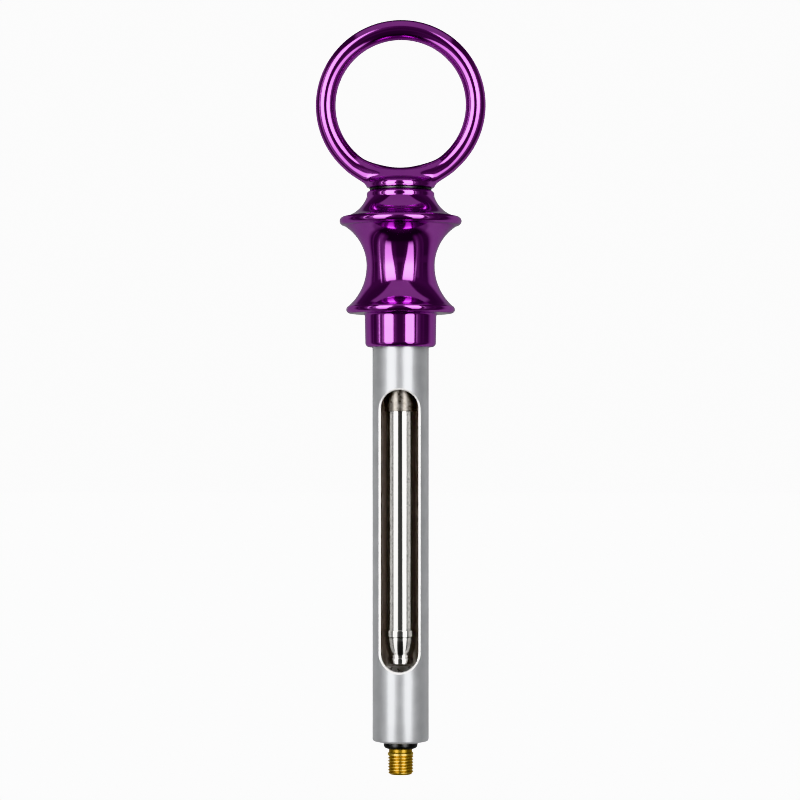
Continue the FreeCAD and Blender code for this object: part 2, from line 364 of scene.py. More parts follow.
# Stainless steel, ground and polished along its length: a dark mirror with soft-edged stripes.
POLISHED_ROD = Finish(
    "stainless_steel_polished", Slot.POLISHED, "#DEDDDB", "#D0CFCD",
    roughness=(0.06, 0.1), patch=0.5, grain=0.12, relief=0.0003, stretch=40.0,
)
# Stainless steel as it left the lathe: mottled and half dull, with rings across it.
# The rings are 0.22 mm apart, coarser than the tool's real feed, so that they show.
AS_TURNED = TurnedFinish(
    "stainless_steel_turned", Slot.TURNED, "#A19C96", "#7B766F",
    roughness=(0.26, 0.36), patch=0.6, grain=0.25, relief=0.004, feed=0.22,
)
# Brass, turned and gold coloured: warm, with a soft sheen on the thread's crests and brown
# painted shade in its grooves.
GOLD_BRASS = GrooveShadedFinish(
    "brass_turned", Slot.BRASS, "#F4D982", "#E6C266",
    roughness=(0.3, 0.38), patch=0.8, grain=0.3, relief=0.001, feed=0.18,
    # Painted shade in the thread's grooves.
    root=2.36, crest=2.62, groove_shade="#B4903C",
)
# Nitrile rubber, moulded: near black, dull, with a faint grey sheen.
NITRILE = Finish(
    "nitrile_rubber_moulded", Slot.RUBBER, "#101010", "#0A0A0A",
    metallic=0.0, roughness=(0.3, 0.36), patch=1.2, grain=0.15, relief=0.002, specular=0.8,
)
# PTFE, machined from bar: milky white and waxy.
PTFE = TurnedFinish(
    "ptfe_machined", Slot.PTFE, "#F2F1EC", "#E8E7E1",
    metallic=0.0, roughness=(0.35, 0.45), patch=2.0, grain=0.3, relief=0.002, feed=0.25,
)


# Shapes


@dataclass
class Outline:
    """Half outline of a turned piece: points of radius and height in millimetres.

    Attributes:
        points: The points so far.
        step: Largest angle in degrees between two points of an arc.
        guard: How far from the end of a straight run an extra point keeps its shading flat.
    """

    points: list[Point] = field(default_factory=list)
    step: float = 4.0
    guard: float = 0.03

    def line(self, radius: float, height: float) -> "Outline":
        """Adds a straight run.

        Args:
            radius: Radius where the run ends.
            height: Height where the run ends.

        Returns:
            The outline itself.
        """
        if self.points:
            start = self.points[-1]
            length = math.dist(start, (radius, height))
            if length > 4 * self.guard:
                for share in (self.guard / length, 1 - self.guard / length):
                    self.points.append(
                        (start[0] + (radius - start[0]) * share, start[1] + (height - start[1]) * share)
                    )
        self.points.append((radius, height))
        return self

    def arc(self, centre: Point, radius: float, start: float, end: float) -> "Outline":
        """Adds an arc, and a straight run to its start if the outline isn't there yet.

        Args:
            centre: Centre of the arc.
            radius: Radius of the arc.
            start: Angle of its first point, in degrees from the outward direction.
            end: Angle of its last point.

        Returns:
            The outline itself.
        """
        count = max(2, math.ceil(abs(end - start) / self.step))
        angles = [math.radians(start + (end - start) * i / count) for i in range(count + 1)]
        places = [(centre[0] + radius * math.cos(a), centre[1] + radius * math.sin(a)) for a in angles]
        if self.points and math.dist(self.points[-1], places[0]) > self.guard / 10:
            self.line(*places[0])
        elif self.points:
            self.points.pop()
        self.points.extend(places if not self.points or self.points[-1] != places[0] else places[1:])
        return self

    def hollow(self, end: Point, radius: float) -> "Outline":
        """Adds an arc that is hollow on its outer side.

        Args:
            end: Last point of the arc.
            radius: Radius of the arc.

        Returns:
            The outline itself.
        """
        start = self.points[-1]
        run, rise = end[0] - start[0], end[1] - start[1]
        chord = math.hypot(run, rise)
        reach = math.sqrt(radius**2 - chord**2 / 4)
        side = 1 if rise > 0 else -1
        centre = (
            (start[0] + end[0]) / 2 + side * reach * rise / chord,
            (start[1] + end[1]) / 2 - side * reach * run / chord,
        )
        first = math.degrees(math.atan2(start[1] - centre[1], start[0] - centre[0])) % 360
        last = math.degrees(math.atan2(end[1] - centre[1], end[0] - centre[0])) % 360
        return self.arc(centre, radius, first, last)


def leaving_radius(waist: Point, end: Point) -> float:
    """Radius of the arc that leaves the waist parallel to the axis and reaches end."""
    run, rise = end[0] - waist[0], end[1] - waist[1]
    return (run**2 + rise**2) / (2 * run)


def on_circle(centre: Point, radius: float, degrees: float) -> Point:
    """The point of a circle at an angle, counted from the outward direction."""
    angle = math.radians(degrees)
    return centre[0] + radius * math.cos(angle), centre[1] + radius * math.sin(angle)


def mesh_object(name: str, sheet: bmesh.types.BMesh) -> bpy.types.Object:
    """Turns a closed mesh in millimetres to an object in metres, smooth but for sharp edges.

    Args:
        name: Name of the object.
        sheet: The mesh, which is used up.

    Returns:
        The new object, at the origin.
    """
    bmesh.ops.scale(sheet, vec=(METRES, METRES, METRES), verts=sheet.verts)
    bmesh.ops.recalc_face_normals(sheet, faces=sheet.faces)
    mesh = bpy.data.meshes.new(name)
    sheet.to_mesh(mesh)
    sheet.free()
    mesh.shade_smooth()
    mesh.set_sharp_from_angle(angle=SHARP_EDGE)
    piece = bpy.data.objects.new(name, mesh)
    bpy.context.scene.collection.objects.link(piece)
    return piece


def turned(name: str, outline: Outline, segments: int = 192) -> bpy.types.Object:
    """Turns an outline round the axis to a closed piece.

    Args:
        name: Name of the piece.
        outline: Half outline. It is closed from its last point to its first.
        segments: Number of steps round the axis.

    Returns:
        The new object.
    """
    sheet = bmesh.new()
    angles = [2 * math.pi * i / segments for i in range(segments)]
    rings = []
    for radius, height in outline.points:
        if radius < 1e-6:
            rings.append([sheet.verts.new((0, 0, height))] * segments)
        else:
            places = [(radius * math.cos(a), radius * math.sin(a), height) for a in angles]
            rings.append([sheet.verts.new(place) for place in places])
    for lower, upper in zip(rings, rings[1:] + rings[:1]):
        for i in range(segments):
            j = (i + 1) % segments
            corners = list(dict.fromkeys((lower[i], lower[j], upper[j], upper[i])))
            if len(corners) > 2:
                sheet.faces.new(corners)
    return mesh_object(name, sheet)


@dataclass
class ThreadCutter:
    """Cuts a right-hand helical thread into a turned piece, with Geometry Nodes.

    Attributes:
        crest_radius: Radius of the thread's crests in millimetres.
        pitch: Distance from crest to crest.
        depth: Depth of the groove.
        low: Height where the thread begins.
        high: Height where it ends.
        run_out: Length over which the groove fades at each end.
        crest_share: Share of the pitch that stays at the crest's radius.
        root_share: Share of the pitch that lies at full depth.
    """

    crest_radius: float
    pitch: float
    depth: float
    low: float
    high: float
    run_out: float
    crest_share: float = 0.16
    root_share: float = 0.16

    def tree(self) -> bpy.types.NodeTree:
        """Builds the node tree, or finds it if it is built already.

        Returns:
            A tree that draws points in to the thread's groove. Its lengths are in metres.
        """
        made = bpy.data.node_groups.get("thread_cutter")
        if made:
            return made
        tree = bpy.data.node_groups.new("thread_cutter", "GeometryNodeTree")
        tree.interface.new_socket("Geometry", in_out="INPUT", socket_type="NodeSocketGeometry")
        for label in ("Crest Radius", "Pitch", "Depth", "Low", "High", "Run Out"):
            tree.interface.new_socket(label, in_out="INPUT", socket_type="NodeSocketFloat")
        tree.interface.new_socket("Material", in_out="INPUT", socket_type="NodeSocketMaterial")
        tree.interface.new_socket("Geometry", in_out="OUTPUT", socket_type="NodeSocketGeometry")
        given = add(tree, "NodeGroupInput").outputs

        def math_node(operation: str, *values: Any) -> bpy.types.NodeSocket:
            """Adds a Math node and gives its output."""
            return add(tree, "ShaderNodeMath", dict(enumerate(values)), operation=operation).outputs[0]

        def ramp(value: Any, start: Any, end: Any, shape: str) -> bpy.types.NodeSocket:
            """Maps a value from start to end onto 0 to 1."""
            values = {"Value": value, "From Min": start, "From Max": end}
            return add(tree, "ShaderNodeMapRange", values, interpolation_type=shape).outputs["Result"]

        place = add(tree, "GeometryNodeInputPosition").outputs[0]
        parts = add(tree, "ShaderNodeSeparateXYZ", {0: place}).outputs
        x, y, z = parts["X"], parts["Y"], parts["Z"]
        flat = add(tree, "ShaderNodeCombineXYZ", {"X": x, "Y": y}).outputs[0]
        radius = add(tree, "ShaderNodeVectorMath", {0: flat}, operation="LENGTH").outputs["Value"]
        turn = math_node("DIVIDE", math_node("ARCTAN2", y, x), 2 * math.pi)
        phase = math_node("FRACT", math_node("SUBTRACT", math_node("DIVIDE", z, given["Pitch"]), turn))
        swing = math_node("ABSOLUTE", math_node("MULTIPLY_ADD", phase, 2.0, -1.0))
        from_crest = math_node("SUBTRACT", 1.0, swing)
        groove = ramp(from_crest, self.crest_share, 1 - self.root_share, "SMOOTHSTEP")
        low_end = math_node("SUBTRACT", given["Low"], given["Run Out"])
        high_end = math_node("ADD", given["High"], given["Run Out"])
        rise = ramp(z, low_end, given["Low"], "SMOOTHSTEP")
        fall = ramp(z, high_end, given["High"], "SMOOTHSTEP")
        full = math_node("MULTIPLY", groove, given["Depth"])
        cut = math_node("MULTIPLY", full, math_node("MULTIPLY", rise, fall))
        allowed = math_node("SUBTRACT", given["Crest Radius"], cut)
        share = math_node("DIVIDE", math_node("MINIMUM", radius, allowed), math_node("MAXIMUM", radius, 1e-9))
        moved = add(
            tree,
            "ShaderNodeCombineXYZ",
            {"X": math_node("MULTIPLY", x, share), "Y": math_node("MULTIPLY", y, share), "Z": z},
        )
        values = {"Geometry": given["Geometry"], "Position": moved.outputs[0]}
        placed = add(tree, "GeometryNodeSetPosition", values)
        real = add(tree, "GeometryNodeRealizeInstances", {"Geometry": placed.outputs[0]})
        dressed = add(
            tree,
            "GeometryNodeSetMaterial",
            {"Geometry": real.outputs[0], "Material": given["Material"]},
        )
        add(tree, "NodeGroupOutput", {"Geometry": dressed.outputs[0]})
        return tree

    def cut(self, piece: bpy.types.Object, finish: Finish) -> None:
        """Cuts the thread into a piece and leaves it a plain mesh.

        Args:
            piece: A turned piece with enough rows of points along the thread.
            finish: Finish of the piece.
        """
        values = {
            "Crest Radius": self.crest_radius * METRES,
            "Pitch": self.pitch * METRES,
            "Depth": self.depth * METRES,
            "Low": self.low * METRES,
            "High": self.high * METRES,
            "Run Out": self.run_out * METRES,
            "Material": finish.material(),
        }
        modifier = piece.modifiers.new("thread", "NODES")
        modifier.node_group = self.tree()
        for item in modifier.node_group.interface.items_tree:
            if item.in_out == "INPUT" and item.name in values:
                modifier[item.identifier] = values[item.name]
        evaluated = piece.evaluated_get(bpy.context.evaluated_depsgraph_get())
        mesh = bpy.data.meshes.new_from_object(evaluated)
        piece.modifiers.remove(modifier)
        piece.data = mesh
        mesh.shade_smooth()
        mesh.set_sharp_from_angle(angle=SHARP_EDGE)


def rows_between(low: float, high: float, spacing: float) -> list[float]:
    """Evenly spaced heights from low to high, both included."""
    count = max(1, round((high - low) / spacing))
    return [low + (high - low) * i / count for i in range(count + 1)]


def deliver(piece: bpy.types.Object, finish: Finish, body: Body, *nodes: str) -> None:
    """Dresses a piece, puts it on its body and reports it.

    Args:
        piece: Finished piece.
        finish: Its finish.
        body: CAD body that it moves with.
        *nodes: CAD nodes that it stands for.
    """
    finish.dress(piece)
    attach(piece, body.value)
    if nodes:
        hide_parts(*nodes)
    LOG.info("%s: %s, %d faces, on %s", piece.name, finish.name, len(piece.data.polygons), body.value)


# Sub-assemblies


@dataclass
class NeedleEnd:
    """Threaded brass tip that takes the needle, and the rubber washer above it.

    Attributes:
        thread_d: Diameter over the thread's crests.
        thread_length: Length of the thread and the relief above it.
        chamfer: Chamfer of the tip.
        pitch: Pitch of the thread.
        thread_depth: Depth of the thread.
        neck_d: Diameter of the neck and shank.
        bore_d: Diameter of the passage for the needle's rear end.
        funnel_d: Diameter of the funnel inside the barrel.
        washer_round: Radius of the washer's lower edge.
    """

    thread_d: float = 5.3
    thread_length: float = 4.6
    chamfer: float = 0.45
    pitch: float = 0.6
    thread_depth: float = 0.3
    neck_d: float = 4.8
    bore_d: float = 1.8
    funnel_d: float = 3.4
    washer_round: float = 0.8

    def adapter(self) -> bpy.types.Object:
        """Turns the adapter and cuts its thread.

        Returns:
            The finished piece.
        """
        _, top = box_mm("needle_adapter")
        thread_r, neck_r = self.thread_d / 2, self.neck_d / 2
        bore_r, funnel_r = self.bore_d / 2, self.funnel_d / 2
        relief = thread_r - neck_r
        outline = Outline()
        outline.line(bore_r, 0).line(thread_r - self.chamfer, 0)
        outline.points += [
            (thread_r - self.chamfer + (height if height < self.chamfer else self.chamfer), height)
            for height in rows_between(0, self.thread_length - relief, self.pitch / 18)[1:]
        ]
        outline.line(neck_r, self.thread_length).line(neck_r, top.z)
        outline.line(funnel_r, top.z).line(bore_r, top.z - (funnel_r - bore_r))
        piece = turned("needle_adapter_threaded", outline)
        thread = ThreadCutter(
            crest_radius=thread_r,
            pitch=self.pitch,
            depth=self.thread_depth,
            low=-self.pitch,
            high=self.thread_length - relief - self.pitch,
            run_out=self.pitch / 2,
        )
        thread.cut(piece, GOLD_BRASS)
        return piece

    def washer(self) -> bpy.types.Object:
        """Turns the washer, with its lower edge rounded and its upper edge eased."""
        low, high = box_mm("tip_washer")
        edge = self.washer_round
        ease = edge / 6
        outline = Outline().line(self.neck_d / 2, low.z)
        outline.arc((high.x - edge, low.z + edge), edge, -90, 0)
        outline.arc((high.x - ease, high.z - ease), ease, 0, 90)
        outline.line(self.neck_d / 2, high.z)
        return turned("tip_washer_moulded", outline)

    def build(self) -> None:
        """Builds both pieces."""
        deliver(self.adapter(), GOLD_BRASS, Body.BARREL, "needle_adapter")
        deliver(self.washer(), NITRILE, Body.BARREL, "tip_washer")


@dataclass
class Barrel:
    """Tube with a round-ended window in its front, a closed nose and a thread at its top.

    Attributes:
        bore_d: Diameter of the bore.
        nose_wall: Thickness of the nose.
        nose_round: Radius of the nose's edge.
        top_chamfer: Chamfer of the upper edge.
        floor_chamfer: Chamfer where the bore meets the nose.
        shank_d: Diameter of the hole for the needle adapter.
        window_width: Width of the window.
        window_length: Length of the window.
        window_from_nose: Height of the window's lower end above the nose.
        window_chamfer: Chamfer round the window.
        painted_light_reach: How far above the window's lower end the bore's painted light reaches and the
            reamed part of the bore begins.
        side_bevel: How much deeper the chamfer is at the window's sides, as a share.
        thread_pitch: Pitch of the thread that holds the barrel in the grip.
        thread_depth: Depth of that thread.
        thread_length: Length of that thread, from the top down.
        arc_columns: Steps across the window's round ends.
        side_columns: Steps round the rest of the barrel.
        side_rows: Steps along the window's straight sides.
        plain_rows: Distance between two rows of points above the window.
        thread_rows: Rows of points in one pitch of the thread.
    """

    bore_d: float = 9.0
    nose_wall: float = 2.5
    nose_round: float = 0.5
    top_chamfer: float = 0.4
    floor_chamfer: float = 0.4
    shank_d: float = 4.8
    window_width: float = 7.7
    window_length: float = 56.65
    window_from_nose: float = 14.25
    window_chamfer: float = 0.3
    painted_light_reach: float = 0.55
    side_bevel: float = 0.28
    thread_pitch: float = 1.0
    thread_depth: float = 0.4
    thread_length: float = 5.6
    arc_columns: int = 56
    side_columns: int = 112
    side_rows: int = 24
    plain_rows: float = 2.5
    thread_rows: int = 16

    def __post_init__(self) -> None:
        """Reads the nose, the top and the radius from the frame."""
        low, high = box_mm("barrel")
        self.nose = low.z
        self.top = high.z
        self.radius = high.x
        self.window_low = self.nose + self.window_from_nose
        self.window_high = self.window_low + self.window_length

    def across(self, column: int, half: float) -> float:
        """Where a column of the window's round ends stands, from -half to half."""
        return half * math.sin(math.pi * (column / self.arc_columns - 0.5))

    def angle(self, column: int, half: float, radius: float) -> float:
        """Angle of a column round the axis, counted from the window's middle.

        Args:
            column: Number of the column.
            half: Half the width of the hole at this wall.
            radius: Radius of the wall.

        Returns:
            The angle in radians.
        """
        edge = math.asin(half / radius)
        if column <= self.arc_columns:
            return math.asin(self.across(column, half) / radius)
        share = (column - self.arc_columns) / self.side_columns
        return edge + (2 * math.pi - 2 * edge) * share

    def wall(
        self, sheet: bmesh.types.BMesh, half: float, radius: float, low: float, high: float
    ) -> dict[str, Any]:
        """Lays one wall of the tube with the window's hole left open.

        Args:
            sheet: Mesh that takes the wall.
            half: Half the width of the hole.
            radius: Radius of the wall.
            low: Height of its lowest row.
            high: Height of its highest row.

        Returns:
            Its lowest and highest rows of points, and the hole's rim.
        """
        columns = self.arc_columns + self.side_columns
        middle = self.window_width / 2
        low_centre, high_centre = self.window_low + middle, self.window_high - middle
        angles = [self.angle(c, half, radius) for c in range(columns)]

        def bow(column: int) -> float:
            """How far the round end reaches past its centre at a column."""
            if column > self.arc_columns:
                return 0.0
            return math.sqrt(max(0.0, half**2 - self.across(column, half) ** 2))

        def point(column: int, height: float) -> bmesh.types.BMVert:
            """A point of the wall."""
            a = angles[column]
            return sheet.verts.new((radius * math.sin(a), -radius * math.cos(a), height))

        reamed = (self.window_low + self.painted_light_reach - low) / (low_centre - low)
        # Rows close up towards the window's end, and one lies where the bore's painted light ends and the
        # reamed bore begins.
        shares = (0, 0.35, reamed, 0.9, 1)
        below = [
            [point(c, low + (low_centre - bow(c) - low) * s) for c in range(columns)] for s in shares
        ]
        spacing = (high_centre - low_centre) / self.side_rows
        beside = [
            {c: point(c, height) for c in (0, *range(self.arc_columns, columns))}
            for height in rows_between(low_centre, high_centre, spacing)[1:-1]
        ]
        settled = high_centre + half + 2 * self.window_chamfer
        above = [
            [
                point(c, high_centre + bow(c) + (settled - high_centre - bow(c)) * (1 - s))
                for c in range(columns)
            ]
            for s in reversed(shares)
        ]
        first_thread = self.top - self.thread_length - self.thread_pitch
        pitch_step = self.thread_pitch / self.thread_rows
        heights = [h for h in rows_between(first_thread, self.top, pitch_step) if h < high]
        plain = rows_between(settled, first_thread, self.plain_rows)[1:-1]
        above += [[point(c, h) for c in range(columns)] for h in (*plain, *heights, high)]
        rows = [dict(enumerate(r)) for r in below] + beside + [dict(enumerate(r)) for r in above]
        for lower, upper in zip(rows, rows[1:]):
            for c in range(columns):
                d = (c + 1) % columns
                corners = [lower.get(c), lower.get(d), upper.get(d), upper.get(c)]
                inside = c < self.arc_columns and (lower in beside or upper in beside)
                if None not in corners and not inside:
                    sheet.faces.new(corners)
        arc = range(self.arc_columns + 1)
        rim = [below[-1][c] for c in arc]
        rim += [row[self.arc_columns] for row in beside]
        rim += [above[0][c] for c in reversed(arc)]
        rim += [row[0] for row in reversed(beside)]
        return {"low": below[0], "high": above[-1], "rim": rim}

    def shell(self) -> bpy.types.Object:
        """Builds the barrel with its window and cuts the thread.

        Returns:
            The finished piece.
        """
        sheet = bmesh.new()
        half = self.window_width / 2
        bore_r = self.bore_d / 2
        chamfer = self.window_chamfer
        floor = self.nose + self.nose_wall
        columns = self.arc_columns + self.side_columns
        outer_low, outer_high = self.nose + self.nose_round, self.top - self.top_chamfer
        outer = self.wall(sheet, half + chamfer, self.radius, outer_low, outer_high)
        inner = self.wall(sheet, half, bore_r, floor + self.floor_chamfer, self.top)

        def bridge(first: Sequence[Any], second: Sequence[Any]) -> None:
            """Joins two closed rows of points."""
            for i, _ in enumerate(first):
                j = (i + 1) % len(first)
                sheet.faces.new((first[i], first[j], second[j], second[i]))

        middle = []
        for inside in inner["rim"]:
            x, z = inside.co.x, inside.co.z
            depth = chamfer * (1 + self.side_bevel * (x / half) ** 2)
            middle.append(sheet.verts.new((x, depth - math.sqrt(self.radius**2 - x**2), z)))
        bridge(outer["rim"], middle)
        bridge(middle, inner["rim"])

        ends = Outline(step=10.0)
        ends.arc((self.radius - self.nose_round, self.nose + self.nose_round), self.nose_round, 0, -90)
        ends.line(self.shank_d / 2, self.nose).line(self.shank_d / 2, floor)
        ends.line(bore_r - self.floor_chamfer, floor)
        row = outer["low"]
        chain = ends.points[1:]
        for number, (radius, height) in enumerate(chain):
            share = (number + 1) / (len(chain) + 1)
            angles = [
                (1 - share) * self.angle(c, half + chamfer, self.radius) + share * self.angle(c, half, bore_r)
                for c in range(columns)
            ]
            fresh = [sheet.verts.new((radius * math.sin(a), -radius * math.cos(a), height)) for a in angles]
            bridge(row, fresh)
            row = fresh
        bridge(row, inner["low"])
        edge_r = self.radius - self.top_chamfer
        angles = [self.angle(c, half + chamfer, self.radius) for c in range(columns)]
        edge = [sheet.verts.new((edge_r * math.sin(a), -edge_r * math.cos(a), self.top)) for a in angles]
        bridge(outer["high"], edge)
        bridge(edge, inner["high"])
        piece = mesh_object("barrel_windowed", sheet)
        thread = ThreadCutter(
            crest_radius=self.radius,
            pitch=self.thread_pitch,
            depth=self.thread_depth,
            low=self.top - self.thread_length,
            high=self.top + self.thread_pitch,
            run_out=self.thread_pitch / 2,
        )
        thread.cut(piece, BEAD_BLASTED)
        return piece

    def build(self) -> None:
        """Builds the barrel and dresses its bore and its window's edge.

        The lowest part of the bore takes the edge's pale milled tone as painted light, where light falls in
        through the window.
        """
        piece = self.shell()
        deliver(piece, BEAD_BLASTED, Body.BARREL, "barrel")
        piece.data.materials.append(REAMED_BORE.material())
        piece.data.materials.append(MILLED_EDGE_AND_PAINTED_BORE_LIGHT.material())
        nearly = 0.02
        floor = self.nose + self.nose_wall
        edge_low = self.window_low - self.window_chamfer - nearly
        edge_high = self.window_high + self.window_chamfer + nearly
        # Below this height the bore is painted pale, as light falling in through the window.
        reamed = self.window_low + self.painted_light_reach
        for face in piece.data.polygons:
            radius, height = face.center.xy.length / METRES, face.center.z / METRES
            if radius < self.bore_d / 2 + nearly and height >= floor:
                face.material_index = 1 if height > reamed else 2
            elif radius < self.radius - nearly and edge_low < height < edge_high:
                face.material_index = 2


@dataclass
class Grip:
    """Spool-shaped finger grip with the sleeve and the bush that guide the rod.

    Attributes:
        collar_r: Radius of the collar at its mouth.
        collar_top_r: Radius of the collar at its top.
        collar_length: Length of the collar.
        mouth_round: Radius of the mouth's edge.
        root_round: Radius between the collar and the lower flange.
        lower_flange_r: Radius of the lower flange.
        lower_edge_r: Radius of its rounded edge.
        waist_r: Radius of the waist.
        waist_rise: Height of the waist above the lower flange's middle.
        upper_edge_r: Radius of the upper flange's rounded edge.
        upper_rise: Height of the upper flange's middle above the waist.
        flare_r: Radius of the hollow above the upper flange.
        shoulder_r: Radius of the shoulder at the top.
        shoulder_round: Radius of its edge.
        shoulder_wall: Height of its plain wall under the rounded edge.
        socket_r: Radius of the socket for the barrel.
        socket_depth: Depth of the socket.
        guide_r: Radius of the bore for the guides.
        rod_hole_r: Radius of the hole for the rod.
        groove: Width and depth of the O-ring's groove.
        groove_from_mouth: Height of the groove above the mouth.
        sleeve_nose_d: Diameter of the sleeve's nose at its end and at its shoulder.
        sleeve_nose_length: Length of the nose.
        sleeve_shoulder: Length of the cone above the nose.
        sleeve_body_r: Radius of the sleeve inside the barrel.
        fit_gap: Gap above the barrel's end.
    """

    collar_r: float = 7.2
    collar_top_r: float = 7.3
    collar_length: float = 6.8
    mouth_round: float = 0.9
    root_round: float = 0.5
    lower_flange_r: float = 11.05
    lower_edge_r: float = 0.85
    waist_r: float = 6.95
    waist_rise: float = 8.8
    upper_edge_r: float = 0.93
    upper_rise: float = 9.05
    flare_r: float = 6.3
    shoulder_r: float = 6.9
    shoulder_round: float = 0.65
    shoulder_wall: float = 0.5
    socket_r: float = 5.8
    socket_depth: float = 7.8
    guide_r: float = 4.4
    rod_hole_r: float = 3.05
    groove: float = 0.9
    groove_from_mouth: float = 1.2
    sleeve_nose_d: Point = (6.4, 6.9)
    sleeve_nose_length: float = 5.35
    sleeve_shoulder: float = 1.0
    sleeve_body_r: float = 4.4
    fit_gap: float = 0.1

    def spool(self) -> bpy.types.Object:
        """Turns the finger grip.

        Returns:
            The finished piece.
        """
        low, high = box_mm("finger_grip")
        mouth, top, upper_flange_r = low.z, high.z, high.x
        lower_z = mouth + self.collar_length + self.lower_edge_r
        waist_z = lower_z + self.waist_rise
        lower = (self.lower_flange_r - self.lower_edge_r, lower_z)
        upper = (upper_flange_r - self.upper_edge_r, waist_z + self.upper_rise)
        waist = (self.waist_r, waist_z)
        lower_edge = on_circle(lower, self.lower_edge_r, 65)
        upper_edge = on_circle(upper, self.upper_edge_r, -87)
        shoulder = (self.shoulder_r - self.shoulder_round, top - self.shoulder_round)
        root_z = mouth + self.collar_length - self.root_round
        groove_z = mouth + self.groove_from_mouth
        socket_top = mouth + self.socket_depth
        outline = Outline(step=2.5).line(self.socket_r, mouth)
        outline.arc((self.collar_r - self.mouth_round, mouth + self.mouth_round), self.mouth_round, -90, 0)
        outline.arc((self.collar_top_r + self.root_round, root_z), self.root_round, 180, 90)
        outline.arc(lower, self.lower_edge_r, -90, 65)
        outline.hollow(waist, leaving_radius(waist, lower_edge))
        outline.hollow(upper_edge, leaving_radius(waist, upper_edge))
        outline.arc(upper, self.upper_edge_r, -87, 100)
        outline.hollow((self.shoulder_r, shoulder[1] - self.shoulder_wall), self.flare_r)
        outline.arc(shoulder, self.shoulder_round, 0, 90)
        outline.line(self.guide_r, top).line(self.guide_r, socket_top).line(self.socket_r, socket_top)
        outline.line(self.socket_r, groove_z + self.groove)
        outline.line(self.socket_r + self.groove, groove_z + self.groove)
        outline.line(self.socket_r + self.groove, groove_z).line(self.socket_r, groove_z)
        return turned("finger_grip_polished", outline, 256)

    def sleeve(self) -> bpy.types.Object:
        """Turns the guide sleeve, whose tapered nose shows in the barrel's window.

        Returns:
            The finished piece.
        """
        low, high = box_mm("guide_sleeve")
        socket_top = box_mm("finger_grip")[0].z + self.socket_depth
        end_r, shoulder_r = (d / 2 for d in self.sleeve_nose_d)
        shoulder = low.z + self.sleeve_nose_length
        ease = self.fit_gap
        outline = Outline().line(self.rod_hole_r, low.z).line(end_r - ease, low.z)
        outline.line(end_r, low.z + ease).line(shoulder_r, shoulder)
        outline.line(self.sleeve_body_r, shoulder + self.sleeve_shoulder)
        outline.line(self.sleeve_body_r, socket_top - self.fit_gap)
        outline.line(self.guide_r, socket_top).line(self.guide_r, high.z).line(self.rod_hole_r, high.z)
        return turned("guide_sleeve_turned", outline, 160)

    def build(self) -> None:
        """Builds the grip and the sleeve, and dresses the bush and the seals inside."""
        deliver(self.spool(), PURPLE_MIRROR, Body.HANDLE, "finger_grip")
        deliver(self.sleeve(), AS_TURNED, Body.HANDLE, "guide_sleeve")
        for node, finish in (("top_bush", PTFE), ("rod_o_ring", NITRILE), ("collar_o_ring", NITRILE)):
            finish.dress(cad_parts[node])
            LOG.info("%s: %s, kept from the frame", node, finish.name)


